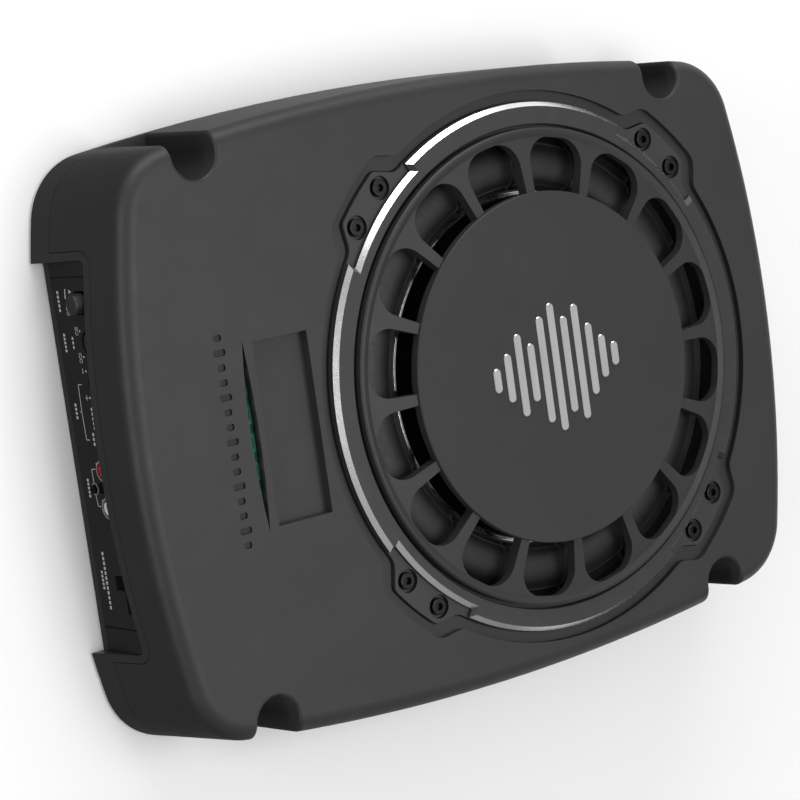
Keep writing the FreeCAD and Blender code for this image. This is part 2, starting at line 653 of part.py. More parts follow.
def grille_opening():
    """One opening between two spokes, centred on +X."""
    half_pitch = 180 / SPOKE_COUNT

    def corner(radius, half_width, side):
        angle = half_pitch - math.degrees(math.asin(half_width / radius))
        return polar(radius, side * angle, DISC_BOTTOM - 10)

    inner_a = corner(GRILLE_OPENING_INNER, SPOKE_HALF_WIDTH_INNER, 1)
    inner_b = corner(GRILLE_OPENING_INNER, SPOKE_HALF_WIDTH_INNER, -1)
    outer_a = corner(GRILLE_OPENING_OUTER, SPOKE_HALF_WIDTH_OUTER, 1)
    outer_b = corner(GRILLE_OPENING_OUTER, SPOKE_HALF_WIDTH_OUTER, -1)
    low = DISC_BOTTOM - 10
    wire = Part.Wire([
        Part.Arc(inner_b, polar(GRILLE_OPENING_INNER, 0, low), inner_a).toShape(),
        Part.makeLine(inner_a, outer_a),
        Part.Arc(outer_a, polar(GRILLE_OPENING_OUTER, 0, low), outer_b).toShape(),
        Part.makeLine(outer_b, inner_b)])
    opening = Part.Face(wire).extrude(Vector(0, 0, 20))
    far = [edge for edge in opening.Edges
           if abs(edge.Vertexes[0].Z - edge.Vertexes[-1].Z) > 1
           and edge.CenterOfMass.x - DRIVER_X > 85]
    return opening.makeFillet(OPENING_CORNER, far)


def grille():
    """Raised rim, sixteen flared spokes and the hub that carries the disc."""
    rim_top = 57.0
    profile = [(58.0, 53.2), (73.0, 53.2), (GRILLE_OPENING_OUTER, 52.4), (95.2, FLANGE_TOP - 0.6),
               (97.3, FLANGE_TOP - 0.6), (97.3, FLANGE_TOP), (GRILLE_OUTER, FLANGE_TOP),
               (GRILLE_OUTER, rim_top - 0.8), (97.6, rim_top - 0.2), (96.8, rim_top),
               (96.0, rim_top - 0.2), (GRILLE_OPENING_OUTER, 56.2), (DISC_RADIUS - 2, 58.6),
               (DISC_RADIUS - 2, DISC_BOTTOM - 0.02), (58.0, DISC_BOTTOM - 0.02)]
    body = turned(profile)
    opening = grille_opening()
    half_pitch = 180 / SPOKE_COUNT
    return body.cut([turn(opening, half_pitch * (2 * i + 1)) for i in range(SPOKE_COUNT)])


def centre_disc():
    """Plain disc that covers the hub, let in between the spokes' inner ends."""
    disc = turned([(0, DISC_BOTTOM), (DISC_RADIUS - 2.05, DISC_BOTTOM),
                   (DISC_RADIUS - 2.05, 58.7), (DISC_RADIUS, 58.7),
                   (DISC_RADIUS, DISC_TOP - 0.4), (DISC_RADIUS - 0.4, DISC_TOP),
                   (0, DISC_TOP)])
    skirt = turned([(DISC_RADIUS - 1.4, DISC_BOTTOM), (DISC_RADIUS, DISC_BOTTOM),
                    (DISC_RADIUS, 58.75), (DISC_RADIUS - 2.1, 58.75)])
    opening = grille_opening()
    half_pitch = 180 / SPOKE_COUNT
    clear = join([turn(opening, half_pitch * (2 * i + 1)) for i in range(SPOKE_COUNT)])
    return join([disc] + skirt.common(clear).Solids)


def disc_emblem():
    """Plain waveform badge: a row of round-ended upright bars."""
    heights = [10.0, 20.0, 34.0, 24.0, 44.0, 53.0, 40.0, 48.0, 30.0, 18.0, 10.0]
    pitch, width, thickness = 6.4, 3.8, 0.8
    bars = []
    for i, height in enumerate(heights):
        x = DRIVER_X + pitch * (i - (len(heights) - 1) / 2)
        bar = box((x - width / 2, x + width / 2), (-height / 2, height / 2),
                  (DISC_TOP, DISC_TOP + thickness))
        uprights = [edge for edge in bar.Edges
                    if abs(edge.Vertexes[0].Z - edge.Vertexes[-1].Z) > 0.5]
        bar = bar.makeFillet(width / 2 - 0.01, uprights)
        bars.append(bar.makeChamfer(0.25, edges_at_z(bar, DISC_TOP + thickness)))
    return Part.makeCompound(bars)


# ---- light slit ---------------------------------------------------------

def indicator_board():
    """Narrow green board fixed close under the slit."""
    z = (FACE_Z - WALL - 2.4, FACE_Z - WALL - 0.8)
    board = box((SLIT_X - 7.0, SLIT_X + 1.8), (-42, 42), z)
    posts = [rod((SLIT_X - 4.5, side * 40.0, z[1]), 1.5, 0.8) for side in (-1, 1)]
    return join([board] + posts)


def indicator_leds():
    z = FACE_Z - WALL - 0.8
    return Part.makeCompound([
        box((SLIT_X - 2.2, SLIT_X - 0.4), (y - 1.6, y + 1.6), (z, z + 0.7))
        for y in (-24.0, -12.0, 0.0, 12.0, 24.0)])


# ---- amplifier ----------------------------------------------------------

def amplifier_board():
    board = box(BOARD_X, (-BOARD_HALF_Y, BOARD_HALF_Y), (BOARD_BOTTOM, BOARD_TOP))
    return board.cut([rod((x, y, 0), 1.6, 30) for x, y in STANDOFF_PLACES])


def board_standoffs():
    return Part.makeCompound([tube((x, y, BASE_TOP), 1.3, 3.4, BOARD_BOTTOM - BASE_TOP)
                              for x, y in STANDOFF_PLACES])


def board_screws():
    shapes = []
    for x, y in STANDOFF_PLACES:
        head = rod((x, y, BOARD_TOP), 2.8, 1.8)
        shank = rod((x, y, BASE_TOP + 2), 1.25, BOARD_TOP - BASE_TOP - 2)
        slot = box((x - 2, x + 2), (y - 0.35, y + 0.35), (BOARD_TOP + 0.9, BOARD_TOP + 3))
        shapes.append(join([head, shank]).cut(slot))
    return Part.makeCompound(shapes)


def heatsink():
    """Finned aluminium bar along one side of the board."""
    x = (-146.0, -84.0)
    low = BOARD_TOP + 0.1
    parts = [box(x, (50.0, 54.0), (low, 42.0))]
    parts += [box(x, (53.9, 63.0), (z, z + 1.6)) for z in
              [low + 0.4 + 4.4 * i for i in range(6)]]
    return join(parts)


def power_transistors():
    shapes = []
    for i in range(4):
        x = -137.0 + 14.6 * i
        body = box((x - 5, x + 5), (45.2, 49.9), (21, 36))
        legs = [box((x + shift - 0.4, x + shift + 0.4), (47.2, 47.8), (BOARD_TOP + 0.02, 21))
                for shift in (-2.5, 0, 2.5)]
        shapes.append(join([body] + legs))
    return Part.makeCompound(shapes)


def transistor_clamp():
    return box((-145.0, -85.0), (43.6, 45.1), (26.0, 31.0))


def filter_capacitors():
    shapes = []
    for x, y in [(-92.0, -56.0), (-112.0, -56.0), (-92.0, 30.0)]:
        can = rod((x, y, BOARD_TOP + 0.1), 8.0, 26.0)
        can = can.makeFillet(0.8, edges_at_z(can, BOARD_TOP + 26.1))
        groove = tube((x, y, BOARD_TOP + 3.0), 7.4, 8.5, 1.0)
        shapes.append(can.cut(groove))
    return Part.makeCompound(shapes)


def transformer_core():
    core = Part.makeTorus(11.0, 4.0, Vector(-100.0, -26.0, BOARD_TOP + 6.2), AXIS_Z)
    return core


def transformer_winding():
    """Turns of wire round the core: sleeves with gaps between them."""
    centre = Vector(-100.0, -26.0, BOARD_TOP + 6.2)
    shapes = []
    for i in range(6):
        start = 60 * i
        sleeve = Part.makeTorus(11.0, 5.4, centre, AXIS_Z, 0, 360, 44)
        sleeve = sleeve.cut(Part.makeTorus(11.0, 4.05, centre, AXIS_Z))
        sleeve.rotate(centre, AXIS_Z, start)
        shapes.append(sleeve)
    return Part.makeCompound(shapes)


def filter_coil():
    """Bobbin choke in the amplifier's output."""
    x, y = -96.0, 6.0
    flanges = [rod((x, y, z), 7.5, 1.2) for z in (BOARD_TOP + 0.1, BOARD_TOP + 13.0)]
    winding = rod((x, y, BOARD_TOP + 1.0), 6.2, 12.2)
    return join(flanges + [winding])


def audio_chips():
    places = [(-118.0, 14.0), (-118.0, -2.0), (-132.0, 30.0)]
    return Part.makeCompound([
        box((x - 3.2, x + 3.2), (y - 5, y + 5), (BOARD_TOP + 0.05, BOARD_TOP + 3.6))
        for x, y in places])


# ---- control panel ------------------------------------------------------

def control_places():
    return (FREQUENCY_Y, GAIN_Y)


def panel_cutters():
    """Everything that passes through the panel, with its clearance."""
    x = (PANEL_X - 1, PANEL_X + PANEL_THICKNESS + 1)
    depth = x[1] - x[0]
    hole = BUTTON_HOLE_HALF
    cutters = [box(x, (BUTTON_Y - hole, BUTTON_Y + hole), (BUTTON_Z - hole, BUTTON_Z + hole)),
               box(x, PHONO_SLOT_Y, PHONO_SLOT_Z),
               box(x, POWER_MOUTH_Y, (POWER_MOUTH_Z[0], BAY_TOP + 1)),
               box(x, LATCH_Y, (LATCH_BOTTOM, POWER_MOUTH_Z[0] + 0.1)),
               rod((x[0], LAMP_Y, CONTROL_Z), 1.55, depth, PLUS_X),
               rod((x[0], JACK_Y, CONTROL_Z), 3.0, depth, PLUS_X),
               rod((x[0], PHONO_SCREW[0], PHONO_SCREW[1]), 1.5, depth, PLUS_X)]
    cutters += [rod((x[0], y, CONTROL_Z), KNOB_HOLE_RADIUS, depth, PLUS_X) for y in control_places()]
    cutters += [rod((x[0], y, PHONO_Z), PHONO_RADIUS + 0.1, depth, PLUS_X)
                for y in (PHONO_RED_Y, PHONO_WHITE_Y)]
    return cutters


def panel_screw_places():
    return [(y, z) for y in (BAY_Y[0] + 2.2, BAY_Y[1] - 2.2) for z in (10.0, 25.0)]


def control_panel():
    """Flat plate inside the bay with two shallow grooves near its ends."""
    x = (PANEL_X, PANEL_X + PANEL_THICKNESS)
    plate = bay_prism(-SEAM_GAP, x).common(box(x, BAY_Y, (BASE_TOP + 0.1, BAY_TOP)))
    middle = box(x, (-PANEL_TALL_HALF_Y, PANEL_TALL_HALF_Y), (BAY_TOP - 2, PANEL_TALL_TOP))
    plate = join([plate, middle])
    grooves = [box((PANEL_X - 1, PANEL_X + 0.7), (y - 0.35, y + 0.35), (0, FACE_Z))
               for y in PANEL_GROOVES_Y]
    pilots = [rod((PANEL_X + 0.6, y, z), 1.25, PANEL_THICKNESS, PLUS_X)
              for y, z in panel_screw_places()]
    return plate.cut(grooves + pilots + panel_cutters())


def panel_screws():
    """Short screws driven from inside, through the ledges into the panel."""
    inside = LEDGE_X[1]
    tip = PANEL_X + 0.8
    return Part.makeCompound([
        join([rod((inside, y, z), 2.4, 1.4, PLUS_X),
              rod((tip, y, z), 1.2, inside - tip + 0.1, PLUS_X)])
        for y, z in panel_screw_places()])


def phase_button():
    """Round push button, domed a little, on a square stem into its switch."""
    front = PANEL_X - BUTTON_PROUD
    cap = rod((front, BUTTON_Y, BUTTON_Z), BUTTON_RADIUS, 4.5, PLUS_X)
    rim = [edge for edge in cap.Edges
           if len(edge.Vertexes) == 1 and abs(edge.Vertexes[0].X - front) < 1e-3]
    cap = cap.makeFillet(0.9, rim)
    stem = box((front + 4.4, PANEL_X + 8.5), (BUTTON_Y - 1.5, BUTTON_Y + 1.5),
               (BUTTON_Z - 1.5, BUTTON_Z + 1.5))
    return join([cap, stem])


def phase_switch():
    """Switch body behind the button, hollow where the stem slides."""
    front = PANEL_X + 5.6
    body = box((front, front + 9.0), (BUTTON_Y - 4.5, BUTTON_Y + 4.5),
               (BOARD_TOP + 0.05, BUTTON_Z + 4.5))
    bore = box((front - 1, front + 7.5), (BUTTON_Y - 1.9, BUTTON_Y + 1.9),
               (BUTTON_Z - 1.9, BUTTON_Z + 1.9))
    return body.cut(bore)


def knob(y):
    """Small knob sunk in its hole, with a screwdriver slot, and its shaft."""
    front = PANEL_X + 0.3
    length = 4.0
    cap = rod((front, y, CONTROL_Z), KNOB_RADIUS, length, PLUS_X)
    rim = [edge for edge in cap.Edges
           if len(edge.Vertexes) == 1 and abs(edge.Vertexes[0].X - front) < 1e-3]
    cap = cap.makeFillet(0.5, rim)
    flutes = []
    for i in range(18):
        angle = math.radians(20 * i + 10)
        radius = KNOB_RADIUS + 0.25
        flutes.append(rod((front - 1, y + radius * math.cos(angle), CONTROL_Z + radius * math.sin(angle)),
                          0.5, length + 3, PLUS_X))
    slot = box((front - 1, front + 0.9), (y - 0.45, y + 0.45), (CONTROL_Z - 3.2, CONTROL_Z + 3.2))
    pointer = box((front - 1, front + 0.4), (y - 0.3, y + 0.3), (CONTROL_Z + 3.1, CONTROL_Z + 7))
    shaft = rod((front + length - 0.1, y, CONTROL_Z), 3.0, 7.0, PLUS_X)
    return join([cap.cut(flutes), shaft]).cut([slot, pointer])


def potentiometer(y):
    """Control body behind the knob, with the bore that the shaft turns in."""
    front = PANEL_X + 4.6
    body = box((front, front + 8.4), (y - 5.5, y + 5.5), (BOARD_TOP + 0.05, CONTROL_Z + 5.5))
    bore = rod((front - 1, y, CONTROL_Z), 3.06, 8.2, PLUS_X)
    return body.cut(bore)


def power_lamp():
    """Round-nosed lamp that looks out through the panel."""
    lens = rod((PANEL_X - 0.6, LAMP_Y, CONTROL_Z), 1.5, 5.0, PLUS_X)
    nose = Part.makeSphere(1.5, Vector(PANEL_X - 0.6, LAMP_Y, CONTROL_Z))
    collar = rod((PANEL_X + 2.6, LAMP_Y, CONTROL_Z), 1.9, 1.6, PLUS_X)
    back = PANEL_X + 5.2
    legs = [box((PANEL_X + 3.2, back + 0.5), (LAMP_Y + shift - 0.25, LAMP_Y + shift + 0.25),
                (CONTROL_Z - 0.25, CONTROL_Z + 0.25)) for shift in (-1.0, 1.0)]
    legs += [box((back, back + 0.5), (LAMP_Y + shift - 0.25, LAMP_Y + shift + 0.25),
                 (BOARD_TOP + 0.05, CONTROL_Z)) for shift in (-1.0, 1.0)]
    return join([lens, nose, collar] + legs)


def phono_socket(y):
    """Coloured insulator with its centre contact's bore, in a plated sleeve."""
    tip = PANEL_X - PHONO_PROUD
    barrel = rod((tip, y, PHONO_Z), PHONO_RADIUS, PHONO_PROUD + 2.0, PLUS_X)
    well = rod((tip - 1, y, PHONO_Z), 3.3, 4.6, PLUS_X)
    post = rod((tip + 0.2, y, PHONO_Z), 2.7, 3.6, PLUS_X)
    centre = rod((tip - 1, y, PHONO_Z), 1.6, 4.4, PLUS_X)
    collar = rod((PANEL_X - PHONO_COLLAR, y, PHONO_Z), 5.1, PHONO_COLLAR - 0.05, PLUS_X)
    return join([join([barrel, collar]).cut(well), post]).cut(centre)


def phono_block():
    """Moulded block that carries both phono sockets on the board."""
    front = PANEL_X + PANEL_THICKNESS + 0.1
    middle = (PHONO_RED_Y + PHONO_WHITE_Y) / 2
    block = box((front, front + 12.0), (middle - 12.5, middle + 12.5),
                (BOARD_TOP + 0.05, PHONO_Z + 5.2))
    foot = box((front, BOARD_X[0] - 0.3), (middle - 5.0, middle + 5.0), (11.4, BOARD_TOP + 1))
    pilot = rod((front - 1, PHONO_SCREW[0], PHONO_SCREW[1]), 1.25, 3.6, PLUS_X)
    return join([block, foot]).cut(pilot)


def phono_screw():
    """Cross-headed screw between the phono sockets."""
    y, z = PHONO_SCREW
    head = rod((PANEL_X - 1.0, y, z), 1.75, 1.0, PLUS_X)
    shank = rod((PANEL_X - 0.1, y, z), 1.2, 4.4, PLUS_X)
    arms = [box((PANEL_X - 2, PANEL_X - 0.6), (y - a, y + a), (z - b, z + b))
            for a, b in ((1.0, 0.22), (0.22, 1.0))]
    return join([head, shank]).cut(arms)


def remote_jack():
    """Small round jack for the remote level control."""
    front = PANEL_X + PANEL_THICKNESS + 0.1
    body = box((front, front + 11.0), (JACK_Y - 3.6, JACK_Y + 3.6), (BOARD_TOP + 0.05, CONTROL_Z + 3.6))
    nose = rod((PANEL_X - 0.3, JACK_Y, CONTROL_Z), 2.8, 3.0, PLUS_X)
    mouth = rod((PANEL_X - 1, JACK_Y, CONTROL_Z), 1.8, 12.0, PLUS_X)
    return join([body, nose]).cut(mouth)


def power_socket():
    """Multi-way socket behind the panel for the supply and speaker-level leads."""
    x = (PANEL_X + PANEL_THICKNESS + 0.1, PANEL_X + 15.0)
    body = box(x, (POWER_MOUTH_Y[0] - 1.8, POWER_MOUTH_Y[1] + 1.8),
               (BOARD_TOP + 0.05, POWER_MOUTH_Z[1] + 1.2))
    mouth = box((x[0] - 1, x[1] - 2.0), POWER_MOUTH_Y, POWER_MOUTH_Z)
    latch = box((x[0] - 1, x[1] - 2.0), LATCH_Y, (LATCH_BOTTOM, POWER_MOUTH_Z[1]))
    return body.cut([mouth, latch])


def power_pins():
    """Two rows of contacts inside the power socket."""
    x = (PANEL_X + 6.0, PANEL_X + 12.98)
    middle_y = sum(POWER_MOUTH_Y) / 2
    middle_z = sum(POWER_MOUTH_Z) / 2
    return Part.makeCompound([
        box(x, (middle_y + 3.6 * i - 0.4, middle_y + 3.6 * i + 0.4),
            (middle_z + row - 0.4, middle_z + row + 0.4))
        for i in (-1.5, -0.5, 0.5, 1.5) for row in (-1.3, 1.3)])


# ---- build --------------------------------------------------------------

PARTS = {
    "enclosure_shell": enclosure_shell,
    "base_plate": base_plate,
    "base_screws": base_screws,
    "rubber_feet": rubber_feet,
    "driver_basket": basket,
    "basket_gasket": basket_gasket,
    "driver_screws": driver_screws,
    "surround": surround,
    "cone": cone,
    "cone_trim_ring": cone_trim_ring,
    "dust_cap": dust_cap,
    "spider": spider,
    "coil_former": coil_former,
    "voice_coil": voice_coil,
    "top_plate": top_plate,
    "magnet_ring": magnet_ring,
    "magnet_yoke": yoke,
    "terminal_strip": terminal_strip,
    "speaker_wires": speaker_wires,
    "trim_ring": trim_ring,
    "grille": grille,
    "centre_disc": centre_disc,
    "disc_emblem": disc_emblem,
    "indicator_board": indicator_board,
    "indicator_leds": indicator_leds,
    "amplifier_board": amplifier_board,
    "board_standoffs": board_standoffs,
    "board_screws": board_screws,
    "heatsink": heatsink,
    "power_transistors": power_transistors,
    "transistor_clamp": transistor_clamp,
    "filter_capacitors": filter_capacitors,
    "transformer_core": transformer_core,
    "transformer_winding": transformer_winding,
    "filter_coil": filter_coil,
    "audio_chips": audio_chips,
    "control_panel": control_panel,
    "panel_screws": panel_screws,
    "phase_button": phase_button,
    "phase_switch": phase_switch,
    "frequency_knob": lambda: knob(FREQUENCY_Y),
    "frequency_control": lambda: potentiometer(FREQUENCY_Y),
    "gain_knob": lambda: knob(GAIN_Y),
    "gain_control": lambda: potentiometer(GAIN_Y),
    "power_lamp": power_lamp,
    "phono_socket_red": lambda: phono_socket(PHONO_RED_Y),
    "phono_socket_white": lambda: phono_socket(PHONO_WHITE_Y),
    "phono_block": phono_block,
    "phono_screw": phono_screw,
    "remote_jack": remote_jack,
    "power_socket": power_socket,
    "power_pins": power_pins,
}

for part_name, make in PARTS.items():
    save(part_name, make())
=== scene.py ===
import math

import bpy
from mathutils import Matrix, Vector


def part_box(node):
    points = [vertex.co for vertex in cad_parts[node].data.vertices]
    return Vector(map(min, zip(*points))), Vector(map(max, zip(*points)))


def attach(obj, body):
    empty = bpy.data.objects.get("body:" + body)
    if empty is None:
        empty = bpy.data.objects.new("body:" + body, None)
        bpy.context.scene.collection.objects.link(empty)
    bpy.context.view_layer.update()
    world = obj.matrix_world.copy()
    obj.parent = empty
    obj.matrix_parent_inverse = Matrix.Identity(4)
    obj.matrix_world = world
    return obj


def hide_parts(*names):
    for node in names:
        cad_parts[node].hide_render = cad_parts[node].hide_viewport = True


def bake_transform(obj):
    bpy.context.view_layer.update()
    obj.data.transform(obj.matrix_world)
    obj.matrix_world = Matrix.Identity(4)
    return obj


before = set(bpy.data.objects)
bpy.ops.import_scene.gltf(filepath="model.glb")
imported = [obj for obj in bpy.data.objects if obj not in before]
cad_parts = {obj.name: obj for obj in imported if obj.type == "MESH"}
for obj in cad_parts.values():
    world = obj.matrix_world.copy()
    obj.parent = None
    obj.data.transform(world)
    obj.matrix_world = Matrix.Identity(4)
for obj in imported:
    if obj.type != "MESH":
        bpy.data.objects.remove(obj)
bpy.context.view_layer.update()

MM = 0.001


def centre(node):
    low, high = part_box(node)
    return (low + high) / 2


AXIS = centre("centre_disc")              # the driver's axis
PANEL_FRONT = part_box("control_panel")[0].x

# The row of recessed marks, from the indicator board towards the panel end, where painted shade
# goes on the case
MARKS_AHEAD = 8.5 * MM
MARKS_WIDTH = 9.5 * MM
MARKS_BELOW_FACE = (0.15 * MM, 1.2 * MM)

# Phono sockets: coloured insulator, plated sleeve, coloured collar
INSULATOR_RADIUS = 3.25 * MM
SLEEVE_RADIUS = 4.3 * MM

# Surround
SURROUND_SKIN = 0.9 * MM
SURROUND_LIP = 1.5 * MM                   # laps over the cone's edge
ROLL_START, ROLL_END = 0.6 * MM, 17.6 * MM
ROLL_STEPS = 18

# Spider
SPIDER_SKIN = 0.4 * MM
SPIDER_FLAT_INNER, SPIDER_FLAT_OUTER = 2.7 * MM, 7 * MM
SPIDER_WAVES, SPIDER_STEPS = 4, 48

# Camera
LENS_MM, SENSOR_MM = 129.6, 36.0
CAMERA_DISTANCE = 1141.8 * MM
CAMERA_TARGET = Vector((-41.3, 0.7, 52.0)) * MM
CAMERA_BACK = Vector((-0.59642, 0.12747, 0.79249))
CAMERA_UP = Vector((0.18897, 0.98186, -0.01571))


# ---- node helpers ---------------------------------------------------------

class Finish:
    """A Principled material and short ways to add to its node tree.

    Sizes are in metres and coordinates are the object's own, so that the
    detail has the same size on every piece and stays put when it moves.
    """

    def __init__(self, name, colour, roughness, **sockets):
        self.material = bpy.data.materials.new(name)
        self.material.use_nodes = True
        self.tree = self.material.node_tree
        self.shader = self.tree.nodes["Principled BSDF"]
        self.shader.inputs["Base Color"].default_value = (*colour, 1)
        self.shader.inputs["Roughness"].default_value = roughness
        for socket, value in sockets.items():
            self.shader.inputs[socket.replace("_", " ")].default_value = value
        self.place = self.node("ShaderNodeTexCoord").outputs["Object"]
        self.normal_so_far = None

    def node(self, kind, inputs=(), **settings):
        node = self.tree.nodes.new(kind)
        for key, value in settings.items():
            setattr(node, key, value)
        for key, value in dict(inputs).items():
            if isinstance(value, bpy.types.NodeSocket):
                self.tree.links.new(value, node.inputs[key])
            else:
                node.inputs[key].default_value = value
        return node

    def noise(self, size, detail=3.0, rough=0.55, stretch=None):
        """Grey noise whose features are about size metres across."""
        place = self.place
        if stretch:
            place = self.node("ShaderNodeMapping", {"Vector": place, "Scale": stretch}).outputs[0]
        return self.node("ShaderNodeTexNoise", {"Vector": place, "Scale": 1 / size,
                                                "Detail": detail, "Roughness": rough}).outputs[0]

    def cells(self, size):
        """Distance to the nearest of scattered points, about size metres apart."""
        return self.node("ShaderNodeTexVoronoi", {"Vector": self.place, "Scale": 1 / size},
                         feature="F1").outputs["Distance"]

    def ramp(self, value, low, high, start=0.0, end=1.0):
        """value rescaled from low..high to start..end, and held there."""
        return self.node("ShaderNodeMapRange", {"Value": value, "From Min": low, "From Max": high,
                                                "To Min": start, "To Max": end}).outputs[0]

    def maths(self, operation, a, b=0.0):
        return self.node("ShaderNodeMath", {0: a, 1: b}, operation=operation).outputs[0]

    def mix(self, factor, a, b):
        """Colour a where factor is 0, colour b where it is 1."""
        node = self.node("ShaderNodeMix", {"Factor": factor}, data_type="RGBA")
        for socket, value in ((node.inputs[6], a), (node.inputs[7], b)):
            if isinstance(value, bpy.types.NodeSocket):
                self.tree.links.new(value, socket)
            else:
                socket.default_value = (*value, 1)
        return node.outputs[2]

    def colour(self, socket):
        self.tree.links.new(socket, self.shader.inputs["Base Color"])

    def roughness(self, socket):
        self.tree.links.new(socket, self.shader.inputs["Roughness"])

    def metallic(self, socket):
        self.tree.links.new(socket, self.shader.inputs["Metallic"])

    def bump(self, height, depth, strength=1.0):
        """Relief of about depth metres."""
        inputs = {"Height": height, "Distance": depth, "Strength": strength}
        if self.normal_so_far:
            inputs["Normal"] = self.normal_so_far
        self.normal_so_far = self.node("ShaderNodeBump", inputs).outputs[0]
        self.tree.links.new(self.normal_so_far, self.shader.inputs["Normal"])

    def radius(self, axis=(0.0, 0.0, 0.0)):
        """Distance from an upright axis."""
        flat = self.node("ShaderNodeVectorMath", {0: self.place, 1: axis}, operation="SUBTRACT")
        flat = self.node("ShaderNodeVectorMath", {0: flat.outputs[0], 1: (1, 1, 0)},
                         operation="MULTIPLY")
        return self.node("ShaderNodeVectorMath", {0: flat.outputs[0]},
                         operation="LENGTH").outputs["Value"]

    def axis_part(self, which):
        parts = self.node("ShaderNodeSeparateXYZ", {"Vector": self.place})
        return parts.outputs[which]

    def normal_part(self, which):
        coords = self.node("ShaderNodeTexCoord")
        parts = self.node("ShaderNodeSeparateXYZ", {"Vector": coords.outputs["Normal"]})
        return parts.outputs[which]


def moulded(name, colour, roughness, grain=0.45 * MM, relief=0.02 * MM, mottle=0.07,
            specular=0.5):
    """Moulded plastic: fine spark-eroded grain and faint clouds in tone and gloss."""
    finish = Finish(name, colour, roughness, Specular_IOR_Level=specular)
    flow = finish.noise(38 * MM, 2.0)
    patches = finish.noise(7 * MM, 4.0, 0.6)
    darker = tuple(channel * (1 - mottle) for channel in colour)
    lighter = tuple(channel * (1 + mottle) for channel in colour)
    finish.colour(finish.mix(finish.ramp(flow, 0.35, 0.65), darker, lighter))
    finish.roughness(finish.ramp(patches, 0.3, 0.7, roughness - 0.02, roughness + 0.03))
    finish.bump(finish.noise(grain, 3.0, 0.65), relief, 0.6)
    return finish


def rubber(name, colour, roughness):
    finish = Finish(name, colour, roughness, Sheen_Weight=0.15, Sheen_Roughness=0.4)
    dust = finish.noise(3 * MM, 5.0, 0.7)
    finish.colour(finish.mix(finish.ramp(dust, 0.55, 0.8, 0.0, 0.35), colour,
                             tuple(channel * 2.2 + 0.01 for channel in colour)))
    finish.roughness(finish.ramp(dust, 0.3, 0.7, roughness - 0.06, roughness + 0.08))
    finish.bump(finish.noise(0.6 * MM, 3.0), 0.02 * MM, 0.5)
    return finish


def metal(name, colour, roughness, brushed=None, stain=0.15):
    """Bare or plated metal, brushed along the axis whose stretch is smallest."""
    finish = Finish(name, colour, roughness, Metallic=1.0)
    marks = finish.noise(0.8 * MM, 4.0, 0.6, brushed)
    clouds = finish.noise(12 * MM, 3.0)
    dull = tuple(channel * (1 - stain) for channel in colour)
    finish.colour(finish.mix(finish.ramp(clouds, 0.35, 0.7), colour, dull))
    finish.roughness(finish.ramp(marks, 0.3, 0.7, max(roughness - 0.05, 0.02), roughness + 0.1))
    finish.bump(marks, 0.006 * MM, 0.3)
    return finish


# ---- finishes -------------------------------------------------------------

def shell_plastic():
    """Textured case plastic, with painted shade in the row of recessed marks: their faces are
    coloured near black as if in shadow.
    """
    finish = moulded("shell_plastic", (0.021, 0.021, 0.0215), 0.5, relief=0.018 * MM, specular=0.42)
    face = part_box("enclosure_shell")[1].z
    marks_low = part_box("indicator_board")[0].x - MARKS_AHEAD
    shallow, deep = MARKS_BELOW_FACE
    below_face = finish.maths("LESS_THAN", finish.axis_part(2), face - shallow)
    above_floor = finish.maths("GREATER_THAN", finish.axis_part(2), face - deep)
    past_low = finish.maths("GREATER_THAN", finish.axis_part(0), marks_low)
    past_high = finish.maths("LESS_THAN", finish.axis_part(0), marks_low + MARKS_WIDTH)
    # painted shade: faces between shallow and deep below the case top, within the marks' span, are
    # coloured near black
    painted_shade_in_marks = finish.maths("MULTIPLY", finish.maths("MULTIPLY", below_face, above_floor),
                        finish.maths("MULTIPLY", past_low, past_high))
    case_colour = finish.shader.inputs["Base Color"].links[0].from_socket
    finish.colour(finish.mix(painted_shade_in_marks, case_colour, (0.004, 0.004, 0.004)))
    return finish


def grille_plastic():
    return moulded("grille_plastic", (0.020, 0.020, 0.021), 0.5, grain=0.4 * MM, specular=0.42)


def base_plastic():
    return moulded("base_plastic", (0.023, 0.023, 0.0235), 0.5, relief=0.018 * MM, specular=0.42)


def panel_plastic():
    return moulded("panel_plastic", (0.011, 0.011, 0.0115), 0.55, grain=0.3 * MM, specular=0.35)


def disc_plastic():
    return moulded("disc_plastic", (0.021, 0.021, 0.022), 0.55, grain=0.3 * MM, relief=0.01 * MM,
                   mottle=0.06, specular=0.4)


def knob_plastic():
    return moulded("knob_plastic", (0.016, 0.016, 0.017), 0.42, grain=0.3 * MM)


def button_plastic():
    return moulded("button_plastic", (0.022, 0.022, 0.023), 0.45, grain=0.3 * MM)


def component_black():
    return moulded("component_black", (0.012, 0.012, 0.013), 0.5, grain=0.5 * MM)


def cone_gloss():
    finish = Finish("cone_gloss", (0.006, 0.006, 0.006), 0.22, Coat_Weight=0.5,
                    Coat_Roughness=0.08)
    finish.roughness(finish.ramp(finish.noise(5 * MM, 4.0), 0.3, 0.7, 0.18, 0.28))
    rings = finish.maths("MULTIPLY", finish.radius(AXIS), 1 / (0.55 * MM))
    finish.bump(finish.maths("SINE", rings), 0.006 * MM, 0.5)
    return finish


def surround_rubber():
    return rubber("surround_rubber", (0.003, 0.003, 0.003), 0.5)


def foot_rubber():
    return rubber("foot_rubber", (0.02, 0.02, 0.02), 0.8)


def gasket_foam():
    finish = Finish("gasket_foam", (0.03, 0.03, 0.03), 0.95)
    cells = finish.cells(0.7 * MM)
    finish.colour(finish.mix(finish.ramp(cells, 0.1, 0.6), (0.015, 0.015, 0.015),
                             (0.05, 0.05, 0.05)))
    finish.bump(cells, 0.15 * MM, 0.8)
    return finish


